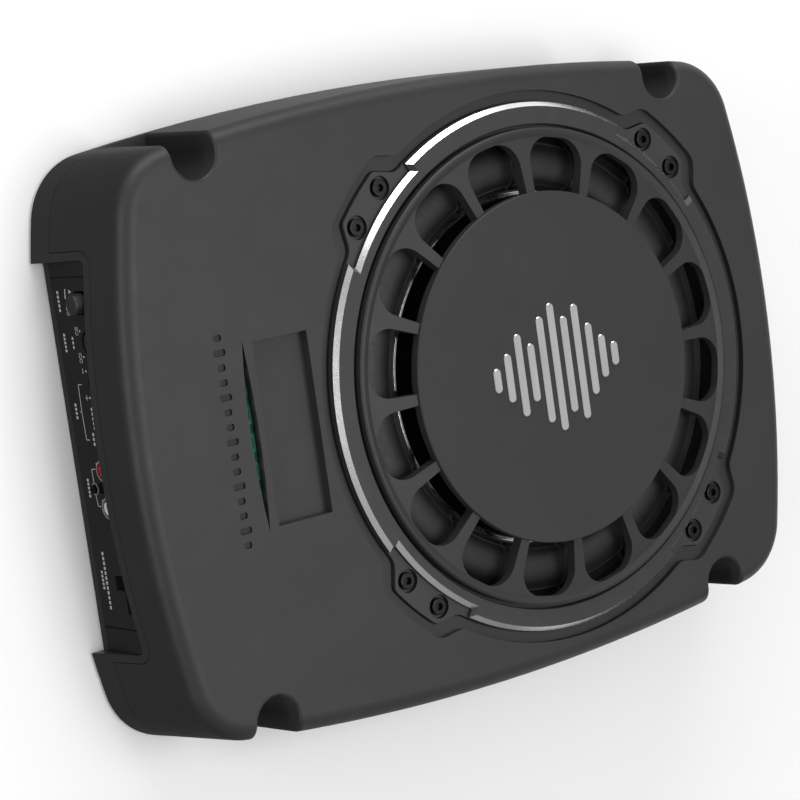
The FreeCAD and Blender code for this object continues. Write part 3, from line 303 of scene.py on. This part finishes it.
def trim_metal():
    """Black anodised ring whose cut edge is left bright."""
    finish = Finish("trim_metal", (0.02, 0.02, 0.02), 0.45)
    radial = finish.node("ShaderNodeVectorMath", {0: finish.place, 1: AXIS}, operation="SUBTRACT")
    radial = finish.node("ShaderNodeVectorMath", {0: radial.outputs[0], 1: (1, 1, 0)},
                         operation="MULTIPLY")
    radial = finish.node("ShaderNodeVectorMath", {0: radial.outputs[0]}, operation="NORMALIZE")
    normal = finish.node("ShaderNodeTexCoord").outputs["Normal"]
    outward = finish.node("ShaderNodeVectorMath", {0: normal, 1: radial.outputs[0]},
                          operation="DOT_PRODUCT").outputs["Value"]
    upward = finish.normal_part(2)
    cut = finish.maths("MULTIPLY", finish.maths("GREATER_THAN", outward, 0.2),
                       finish.maths("GREATER_THAN", upward, 0.3))
    cut = finish.maths("MULTIPLY", cut, finish.maths("LESS_THAN", upward, 0.97))
    clouds = finish.noise(9 * MM, 3.0)
    black = finish.mix(finish.ramp(clouds, 0.35, 0.65), (0.018, 0.018, 0.019),
                       (0.023, 0.023, 0.024))
    bright = finish.mix(clouds, (0.86, 0.87, 0.88), (0.95, 0.95, 0.95))
    finish.colour(finish.mix(cut, black, bright))
    finish.metallic(cut)
    turning = finish.maths("MULTIPLY", finish.radius(AXIS), 1 / (0.04 * MM))
    fine = finish.noise(0.5 * MM, 3.0)
    finish.roughness(finish.mix(cut, finish.ramp(fine, 0.3, 0.7, 0.42, 0.52),
                                finish.ramp(fine, 0.3, 0.7, 0.16, 0.3)))
    finish.bump(finish.maths("SINE", turning), 0.002 * MM, 0.4)
    finish.bump(fine, 0.01 * MM, 0.4)
    return finish


def emblem_metal():
    return metal("emblem_metal", (0.93, 0.93, 0.94), 0.1, (1.0, 0.05, 1.0), stain=0.05)


def bead_metal():
    return metal("bead_metal", (0.9, 0.9, 0.92), 0.1)


def screw_black():
    finish = metal("screw_black", (0.035, 0.035, 0.037), 0.32)
    wear = finish.noise(1.2 * MM, 4.0, 0.7)
    finish.colour(finish.mix(finish.ramp(wear, 0.62, 0.8), (0.03, 0.03, 0.032),
                             (0.12, 0.12, 0.12)))
    return finish


def basket_metal():
    return moulded("basket_metal", (0.021, 0.021, 0.022), 0.5, grain=0.8 * MM, relief=0.03 * MM)


def plated_steel():
    return metal("plated_steel", (0.55, 0.54, 0.5), 0.3)


def aluminium():
    return metal("aluminium", (0.75, 0.75, 0.76), 0.35, (0.05, 1.0, 1.0))


def brass():
    return metal("brass", (0.8, 0.6, 0.28), 0.22)


def copper_winding():
    """Enamelled wire laid in close turns."""
    finish = Finish("copper_winding", (0.55, 0.2, 0.06), 0.3, Metallic=1.0, Coat_Weight=0.4)
    turns = finish.node("ShaderNodeTexWave", {"Vector": finish.place, "Scale": 1 / (4.5 * MM),
                                              "Distortion": 1.2, "Detail": 2.0},
                        bands_direction="Z").outputs[0]
    finish.colour(finish.mix(turns, (0.35, 0.1, 0.03), (0.7, 0.28, 0.09)))
    finish.bump(turns, 0.15 * MM, 0.8)
    return finish


def ferrite():
    finish = Finish("ferrite", (0.05, 0.05, 0.05), 0.7)
    speck = finish.noise(0.9 * MM, 5.0, 0.7)
    finish.colour(finish.mix(finish.ramp(speck, 0.4, 0.7), (0.035, 0.035, 0.036),
                             (0.09, 0.09, 0.088)))
    finish.bump(speck, 0.08 * MM, 0.5)
    return finish


def spider_cloth():
    """Resin-dipped woven cloth."""
    finish = Finish("spider_cloth", (0.5, 0.36, 0.16), 0.9, Sheen_Weight=0.3)
    weave_x = finish.maths("SINE", finish.maths("MULTIPLY", finish.axis_part(0), 1 / (0.12 * MM)))
    weave_y = finish.maths("SINE", finish.maths("MULTIPLY", finish.axis_part(1), 1 / (0.12 * MM)))
    weave = finish.maths("MULTIPLY", weave_x, weave_y)
    finish.colour(finish.mix(finish.ramp(weave, -1, 1), (0.42, 0.27, 0.1), (0.62, 0.47, 0.24)))
    finish.bump(weave, 0.06 * MM, 0.8)
    return finish


def board_green():
    """Solder mask over copper tracks, with tinned pads."""
    finish = Finish("board_green", (0.01, 0.12, 0.06), 0.28, Coat_Weight=0.3, Coat_Roughness=0.1)
    tracks = finish.node("ShaderNodeTexBrick", {"Vector": finish.place, "Scale": 1 / (22 * MM),
                                                "Mortar Size": 0.035, "Mortar Smooth": 0.1,
                                                "Bias": -0.3}).outputs["Fac"]
    pads = finish.ramp(finish.cells(4.6 * MM), 0.14, 0.17, 1.0, 0.0)
    mask = finish.mix(tracks, (0.006, 0.085, 0.045), (0.03, 0.2, 0.1))
    finish.colour(finish.mix(pads, mask, (0.72, 0.72, 0.7)))
    finish.metallic(pads)
    finish.bump(finish.maths("ADD", tracks, pads), 0.05 * MM, 0.6)
    return finish


def terminal_board():
    finish = Finish("terminal_board", (0.35, 0.2, 0.08), 0.6)
    grain = finish.noise(1.5 * MM, 5.0, 0.7, (1, 0.1, 1))
    finish.colour(finish.mix(grain, (0.25, 0.13, 0.05), (0.45, 0.28, 0.12)))
    finish.bump(grain, 0.03 * MM, 0.5)
    return finish


def wire_insulation():
    finish = moulded("wire_insulation", (0.45, 0.02, 0.02), 0.4, grain=0.8 * MM)
    side = finish.maths("GREATER_THAN", finish.axis_part(1), 0.0)
    flow = finish.noise(6 * MM, 2.0)
    red = finish.mix(flow, (0.42, 0.015, 0.015), (0.55, 0.03, 0.025))
    black = finish.mix(flow, (0.012, 0.012, 0.012), (0.022, 0.022, 0.022))
    finish.colour(finish.mix(side, black, red))
    return finish


def capacitor_sleeve():
    """Shrunk sleeve with a pale polarity stripe and a bare aluminium top."""
    finish = Finish("capacitor_sleeve", (0.01, 0.015, 0.05), 0.35)
    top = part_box("filter_capacitors")[1].z
    bare = finish.maths("GREATER_THAN", finish.axis_part(2), top - 0.6 * MM)
    cloud = finish.noise(5 * MM, 3.0)
    sleeve = finish.mix(cloud, (0.008, 0.012, 0.04), (0.014, 0.02, 0.065))
    finish.colour(finish.mix(bare, sleeve, (0.7, 0.7, 0.7)))
    finish.metallic(bare)
    finish.bump(cloud, 0.05 * MM, 0.3)
    return finish


def lamp(name, colour, glow):
    finish = Finish(name, colour, 0.12, Transmission_Weight=0.4, IOR=1.5,
                    Emission_Color=(*colour, 1), Emission_Strength=glow)
    core = finish.noise(0.8 * MM, 2.0)
    brighter = tuple(min(1, channel * 1.5 + 0.02) for channel in colour)
    finish.colour(finish.mix(core, colour, brighter))
    finish.bump(core, 0.01 * MM, 0.3)
    return finish


def lamp_package():
    finish = Finish("lamp_package", (0.8, 0.8, 0.75), 0.3, Emission_Color=(0.7, 1, 0.8, 1),
                    Emission_Strength=0.15)
    spot = finish.noise(0.7 * MM, 2.0)
    finish.colour(finish.mix(spot, (0.85, 0.83, 0.7), (0.7, 0.72, 0.66)))
    finish.bump(spot, 0.03 * MM, 0.4)
    return finish


def phono_socket(name, colour):
    """Plated sleeve round a coloured insulator, with a collar of the same colour."""
    finish = Finish(name, (0.75, 0.73, 0.7), 0.2, Metallic=1.0)
    node_centre = centre(name)
    offset = finish.node("ShaderNodeVectorMath", {0: finish.place, 1: node_centre},
                         operation="SUBTRACT")
    flat = finish.node("ShaderNodeVectorMath", {0: offset.outputs[0], 1: (0, 1, 1)},
                       operation="MULTIPLY")
    radius = finish.node("ShaderNodeVectorMath", {0: flat.outputs[0]},
                         operation="LENGTH").outputs["Value"]
    inner = finish.maths("LESS_THAN", radius, INSULATOR_RADIUS)
    collar = finish.maths("GREATER_THAN", radius, SLEEVE_RADIUS)
    plastic = finish.maths("MAXIMUM", inner, collar)
    cloud = finish.noise(2 * MM, 3.0)
    paint = finish.mix(cloud, colour, tuple(channel * 0.8 for channel in colour))
    plate = finish.mix(cloud, (0.78, 0.76, 0.72), (0.66, 0.64, 0.6))
    finish.colour(finish.mix(plastic, plate, paint))
    finish.metallic(finish.maths("SUBTRACT", 1.0, plastic))
    finish.roughness(finish.ramp(cloud, 0.3, 0.7, 0.18, 0.3))
    finish.bump(cloud, 0.01 * MM, 0.4)
    return finish


def print_ink():
    """Pale screen print, a little thin in places."""
    finish = Finish("print_ink", (0.5, 0.5, 0.5), 0.6)
    finish.colour(finish.mix(finish.noise(0.5 * MM, 3.0), (0.36, 0.36, 0.36), (0.6, 0.6, 0.6)))
    finish.bump(finish.noise(0.3 * MM, 2.0), 0.01 * MM, 0.4)
    return finish


FINISHES = {
    "enclosure_shell": shell_plastic, "base_plate": base_plastic, "base_screws": screw_black,
    "rubber_feet": foot_rubber, "driver_basket": basket_metal, "basket_gasket": gasket_foam,
    "driver_screws": screw_black, "cone": cone_gloss, "cone_trim_ring": bead_metal,
    "dust_cap": cone_gloss, "coil_former": aluminium, "voice_coil": copper_winding,
    "top_plate": plated_steel, "magnet_ring": ferrite, "magnet_yoke": plated_steel,
    "terminal_strip": terminal_board, "speaker_wires": wire_insulation, "trim_ring": trim_metal,
    "grille": grille_plastic, "centre_disc": disc_plastic, "disc_emblem": emblem_metal,
    "indicator_board": board_green, "indicator_leds": lamp_package,
    "amplifier_board": board_green, "board_standoffs": brass, "board_screws": plated_steel,
    "heatsink": aluminium, "power_transistors": component_black, "transistor_clamp": plated_steel,
    "filter_capacitors": capacitor_sleeve, "transformer_core": ferrite,
    "transformer_winding": copper_winding, "filter_coil": copper_winding,
    "audio_chips": component_black, "control_panel": panel_plastic, "panel_screws": screw_black,
    "phase_button": button_plastic, "phase_switch": component_black,
    "frequency_knob": knob_plastic, "frequency_control": component_black,
    "gain_knob": knob_plastic, "gain_control": component_black,
    "power_lamp": lambda: lamp("lamp_red", (0.7, 0.03, 0.02), 0.2),
    "phono_socket_red": lambda: phono_socket("phono_socket_red", (0.55, 0.015, 0.02)),
    "phono_socket_white": lambda: phono_socket("phono_socket_white", (0.8, 0.8, 0.78)),
    "phono_block": component_black, "phono_screw": screw_black, "remote_jack": component_black,
    "power_socket": component_black, "power_pins": brass,
}


def apply_finishes():
    made = {}
    for name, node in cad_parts.items():
        if name in ("surround", "spider"):
            continue
        make = FINISHES[name]
        if make not in made:
            made[make] = make().material
        if not node.data.materials:
            node.data.materials.append(None)
        for i in range(len(node.data.materials)):
            node.data.materials[i] = made[make]


# ---- soft parts of the driver ---------------------------------------------

SECTORS = 16


def swept_sector(name, profile, first, last, steps):
    """Closed solid swept from one angle to another about the driver's axis.

    profile is a closed loop of (radius, height) points.
    """
    points, faces = [], []
    count = len(profile)
    for step in range(steps + 1):
        angle = first + (last - first) * step / steps
        for radius, height in profile:
            points.append((AXIS.x + radius * math.cos(angle), AXIS.y + radius * math.sin(angle),
                           height))
    for step in range(steps):
        for i in range(count):
            a = step * count + i
            b = step * count + (i + 1) % count
            faces.append((a, a + count, b + count, b))
    faces.append(tuple(range(count)))
    faces.append(tuple(steps * count + i for i in reversed(range(count))))
    mesh = bpy.data.meshes.new(name)
    mesh.from_pydata(points, [], faces)
    mesh.validate()
    for polygon in mesh.polygons:
        polygon.use_smooth = len(polygon.vertices) == 4
    piece = bpy.data.objects.new(name, mesh)
    bpy.context.scene.collection.objects.link(piece)
    return piece


def thickened(middle_line, thickness):
    """Closed loop round an open line of (radius, height) points."""
    upper, lower = [], []
    last = len(middle_line) - 1
    for i, (radius, height) in enumerate(middle_line):
        before = middle_line[max(i - 1, 0)]
        after = middle_line[min(i + 1, last)]
        along = Vector((after[0] - before[0], after[1] - before[1])).normalized()
        side = Vector((-along.y, along.x)) * thickness / 2
        upper.append((radius + side.x, height + side.y))
        lower.append((radius - side.x, height - side.y))
    return upper + lower[::-1]


def sectors(node, profile, material):
    """The soft ring in sectors, swept one after another about the driver's axis."""
    width = 2 * math.pi / SECTORS
    for i in range(SECTORS):
        piece = swept_sector(f"{node}_sector_{i + 1:02d}", profile, i * width, (i + 1) * width, 12)
        piece.data.materials.append(material)
        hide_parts(node)
        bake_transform(piece)


def surround():
    """Rubber half-roll with a flat lip each side."""
    low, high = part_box("surround")
    outer_land = (high.x - low.x) / 2
    edge = (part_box("cone")[1].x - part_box("cone")[0].x) / 2
    cone_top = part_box("cone")[1].z
    skin = SURROUND_SKIN
    inner_level = cone_top + 0.3 * MM + skin / 2
    outer_level = low.z + skin / 2
    roll_inner, roll_outer = edge + ROLL_START, edge + ROLL_END
    rise = high.z - inner_level - skin / 2 - 0.1 * MM
    line = [(edge - SURROUND_LIP, inner_level), (roll_inner - 0.4 * MM, inner_level)]
    for i in range(1, ROLL_STEPS):
        turn = math.pi * i / ROLL_STEPS
        radius = (roll_inner + roll_outer) / 2 - (roll_outer - roll_inner) / 2 * math.cos(turn)
        level = inner_level + (outer_level - inner_level) * i / ROLL_STEPS
        line.append((radius, level + rise * math.sin(turn) ** 0.8))
    line += [(roll_outer + 0.4 * MM, outer_level), (outer_land - 0.1 * MM, outer_level)]
    material = surround_rubber().material
    sectors("surround", thickened(line, skin), material)


def spider():
    """Corrugated cloth disc between the coil and the basket."""
    low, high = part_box("spider")
    outer = (high.x - low.x) / 2
    coil = (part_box("coil_former")[1].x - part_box("coil_former")[0].x) / 2
    inner = coil + 0.3 * MM
    level = (low.z + high.z) / 2
    swing = (high.z - low.z) / 2 - SPIDER_SKIN
    first_wave, last_wave = inner + SPIDER_FLAT_INNER, outer - SPIDER_FLAT_OUTER
    line = [(inner, level), (first_wave, level)]
    for i in range(1, SPIDER_STEPS):
        share = i / SPIDER_STEPS
        line.append((first_wave + (last_wave - first_wave) * share,
                     level + swing * math.sin(2 * math.pi * SPIDER_WAVES * share)))
    line += [(last_wave, level), (outer, level)]
    material = spider_cloth().material
    sectors("spider", thickened(line, SPIDER_SKIN), material)


# ---- printed marks on the control panel -----------------------------------

INK = 0.08 * MM
SEGMENTS = {"0": "abcdef", "1": "bc", "5": "acdfg", "8": "abcdefg"}


class Print:
    """Flat raised marks on the panel, built up as one mesh.

    Places are (y, z) in millimetres. Seen from outside, +y is on the left.
    """

    def __init__(self, name):
        self.name = name
        self.points = []
        self.faces = []

    def prism(self, outline):
        """Thin plate of a convex outline, standing on the panel."""
        first = len(self.points)
        count = len(outline)
        front = PANEL_FRONT - INK
        for x in (PANEL_FRONT + 0.01 * MM, front):
            self.points += [(x, y * MM, z * MM) for y, z in outline]
        self.faces.append(tuple(first + i for i in reversed(range(count))))
        self.faces.append(tuple(first + count + i for i in range(count)))
        for i in range(count):
            j = (i + 1) % count
            self.faces.append((first + i, first + j, first + count + j, first + count + i))

    def stroke(self, start, end, width=0.32):
        along = Vector((end[0] - start[0], end[1] - start[1])).normalized() * width / 2
        side = Vector((-along.y, along.x))
        start, end = Vector(start) - along, Vector(end) + along
        self.prism([tuple(start + side), tuple(start - side), tuple(end - side), tuple(end + side)])

    def line(self, places, width=0.32):
        for start, end in zip(places, places[1:]):
            self.stroke(start, end, width)

    def dot(self, place, radius=0.45):
        self.prism([(place[0] + radius * math.cos(math.tau * i / 12),
                     place[1] + radius * math.sin(math.tau * i / 12)) for i in range(12)])

    def ring(self, place, radius):
        spots = [(place[0] + radius * math.cos(math.tau * i / 20),
                  place[1] + radius * math.sin(math.tau * i / 20)) for i in range(21)]
        self.line(spots, 0.3)

    def digit(self, character, left, low, width=1.2, height=1.7):
        """A plain stroked digit; left is its left side as seen from outside."""
        right, middle, high = left - width, low + height / 2, low + height
        ends = {"a": ((left, high), (right, high)), "b": ((right, high), (right, middle)),
                "c": ((right, middle), (right, low)), "d": ((left, low), (right, low)),
                "e": ((left, middle), (left, low)), "f": ((left, high), (left, middle)),
                "g": ((left, middle), (right, middle))}
        for segment in SEGMENTS[character]:
            self.stroke(*ends[segment], 0.26)

    def number(self, text, middle, low):
        pitch = 1.75
        left = middle + (pitch * (len(text) - 1) + 1.2) / 2
        for i, character in enumerate(text):
            self.digit(character, left - pitch * i, low)

    def bars(self, left, right, low, height=1.2, count=4):
        """Row of short bars that stands where a caption would be."""
        pitch = (left - right) / count
        for i in range(count):
            start = left - pitch * i
            self.prism([(start, low), (start - pitch * 0.66, low),
                        (start - pitch * 0.66, low + height), (start, low + height)][::-1])

    def finish(self, ink):
        mesh = bpy.data.meshes.new(self.name)
        mesh.from_pydata(self.points, [], self.faces)
        mesh.validate()
        mesh.materials.append(ink)
        piece = bpy.data.objects.new(self.name, mesh)
        bpy.context.scene.collection.objects.link(piece)
        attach(piece, "enclosure")


def printed_marks():
    """Scales, link lines and plain symbols round the controls."""
    ink = print_ink().material
    button_y = centre("phase_button").y / MM
    frequency_y = centre("frequency_knob").y / MM
    gain_y = centre("gain_knob").y / MM
    jack_y = centre("remote_jack").y / MM
    lamp_y = centre("power_lamp").y / MM
    red_y = centre("phono_socket_red").y / MM
    white_y = centre("phono_socket_white").y / MM
    screw_y = centre("phono_screw").y / MM
    screw_z = centre("phono_screw").z / MM

    phase = Print("phase_print")
    phase.number("180", button_y - 2.2, 13.7)
    phase.prism([(button_y + 5.2, 17.0), (button_y + 3.6, 17.0), (button_y + 4.4, 18.9)])
    phase.line([(button_y + 5.2, 14.5), (button_y + 2.0, 14.0)], 0.6)
    phase.bars(button_y + 4.8, button_y - 3.8, 8.2, count=5)
    phase.finish(ink)

    frequency = Print("frequency_print")
    frequency.number("50", frequency_y + 4.8, 17.6)
    frequency.number("100", frequency_y - 5.0, 17.6)
    frequency.dot((frequency_y + 4.8, 20.7))
    frequency.dot((frequency_y - 5.1, 20.8))
    frequency.bars(frequency_y + 2.6, frequency_y - 2.6, 14.2, 0.9, 3)
    frequency.bars(frequency_y + 3.8, frequency_y - 3.8, 8.3, count=5)
    frequency.finish(ink)

    gain = Print("gain_print")
    minus_y, plus_y = gain_y + 5.2, gain_y - 5.1
    for place in (minus_y, plus_y):
        gain.line([(place + 0.9, 18.4), (place - 0.9, 18.4)])
        gain.dot((place, 20.6))
    gain.line([(plus_y, 17.5), (plus_y, 19.3)])
    middle = (gain_y + jack_y) / 2
    gain.line([(gain_y, 15.8), (gain_y, 13.5), (middle, 13.1), (jack_y, 13.4), (jack_y, 15.6)])
    gain.line([(middle, 13.1), (middle, 12.1)])
    gain.bars(middle + 3.3, middle - 3.3, 8.6, count=4)
    gain.bars(lamp_y + 4.6, lamp_y - 4.6, 20.0, 1.1, 5)
    gain.bars(jack_y + 2.8, jack_y - 2.8, 18.2, 1.1, 3)
    gain.finish(ink)

    phono = Print("phono_print")
    phono.line([(red_y, 16.0), (red_y, 13.6), (screw_y + 2.3, screw_z)])
    phono.line([(screw_y - 2.3, screw_z), (white_y, 14.4), (white_y, 16.2)])
    phono.ring((screw_y, screw_z), 2.25)
    phono.bars(red_y + 2.6, red_y - 2.2, 17.4, 1.1, 3)
    phono.bars(white_y + 2.6, white_y - 2.2, 17.6, 1.1, 3)
    phono.bars(screw_y + 3.9, screw_y - 3.9, 8.9, count=5)
    phono.finish(ink)

    power = Print("power_print")
    socket_y = centre("power_socket").y / MM
    power.bars(socket_y + 16.4, socket_y - 6.8, 11.2, 1.2, 12)
    power.bars(socket_y + 8.8, socket_y + 1.0, 8.6, 1.2, 5)
    power.finish(ink)


# ---- stage, light and camera ----------------------------------------------

def area_light(name, place, target, size, power):
    light = bpy.data.lights.new(name, "AREA")
    light.shape = "RECTANGLE"
    light.size, light.size_y = size
    light.energy = power
    lamp_object = bpy.data.objects.new(name, light)
    bpy.context.scene.collection.objects.link(lamp_object)
    lamp_object.location = place
    aim = Vector(target) - Vector(place)
    lamp_object.rotation_euler = aim.to_track_quat("-Z", "Y").to_euler()


def floor():
    mesh = bpy.data.meshes.new("floor")
    reach = 6.0
    mesh.from_pydata([(-reach, -reach, 0), (reach, -reach, 0), (reach, reach, 0),
                      (-reach, reach, 0)], [], [(0, 1, 2, 3)])
    piece = bpy.data.objects.new("floor", mesh)
    bpy.context.scene.collection.objects.link(piece)
    finish = Finish("floor_paper", (0.95, 0.95, 0.95), 0.9)
    finish.colour(finish.mix(finish.noise(0.5, 2.0), (0.94, 0.94, 0.94), (0.96, 0.96, 0.96)))
    mesh.materials.append(finish.material)
    piece.visible_diffuse = False
    piece.visible_glossy = False


def studio_world():
    """Dim room, paler overhead, with a bright band low down beyond the far end."""
    world = bpy.data.worlds.new("studio")
    world.use_nodes = True
    tree = world.node_tree
    background = tree.nodes["Background"]

    def map_range(value, low, high, start, end):
        node = tree.nodes.new("ShaderNodeMapRange")
        tree.links.new(value, node.inputs["Value"])
        for socket, number in zip(("From Min", "From Max", "To Min", "To Max"),
                                  (low, high, start, end)):
            node.inputs[socket].default_value = number
        return node.outputs[0]

    def combine(operation, first, second):
        node = tree.nodes.new("ShaderNodeMath")
        node.operation = operation
        tree.links.new(first, node.inputs[0])
        tree.links.new(second, node.inputs[1])
        return node.outputs[0]

    direction = tree.nodes.new("ShaderNodeTexCoord").outputs["Generated"]
    parts = tree.nodes.new("ShaderNodeSeparateXYZ")
    tree.links.new(direction, parts.inputs[0])
    along, height = parts.outputs[0], parts.outputs[2]
    ceiling = map_range(height, -0.1, 0.9, 0.16, 0.5)
    far_end = map_range(along, 0.35, 0.7, 0.0, 1.0)
    low_band = map_range(height, 0.05, 0.35, 0.9, 0.0)
    band = combine("MULTIPLY", far_end, low_band)
    tree.links.new(combine("ADD", ceiling, band), background.inputs[1])
    background.inputs[0].default_value = (1, 1, 1, 1)
    bpy.context.scene.world = world


def lights():
    studio_world()
    area_light("overhead_softbox", (0.2, -0.05, 1.5), (0, 0, 0), (0.9, 1.1), 10.5)
    area_light("rear_softbox", (0.0, 1.5, 0.55), (0, 0, 0.05), (1.8, 0.6), 17.0)
    area_light("ridge_strip", (-1.4, 0.1, 0.55), (-0.17, 0, 0.05), (1.3, 0.16), 7.0)


def camera():
    data = bpy.data.cameras.new("camera")
    data.lens = LENS_MM
    data.sensor_width = SENSOR_MM
    view = bpy.data.objects.new("camera", data)
    bpy.context.scene.collection.objects.link(view)
    right = CAMERA_UP.cross(CAMERA_BACK).normalized()
    up = CAMERA_BACK.cross(right)
    turn = Matrix((right, up, CAMERA_BACK)).transposed().to_4x4()
    place = CAMERA_TARGET + CAMERA_BACK * CAMERA_DISTANCE
    view.matrix_world = Matrix.Translation(place) @ turn
    bpy.context.scene.camera = view


apply_finishes()
surround()
spider()
printed_marks()
floor()
lights()
camera()
bpy.context.scene.view_settings.view_transform = "Standard"
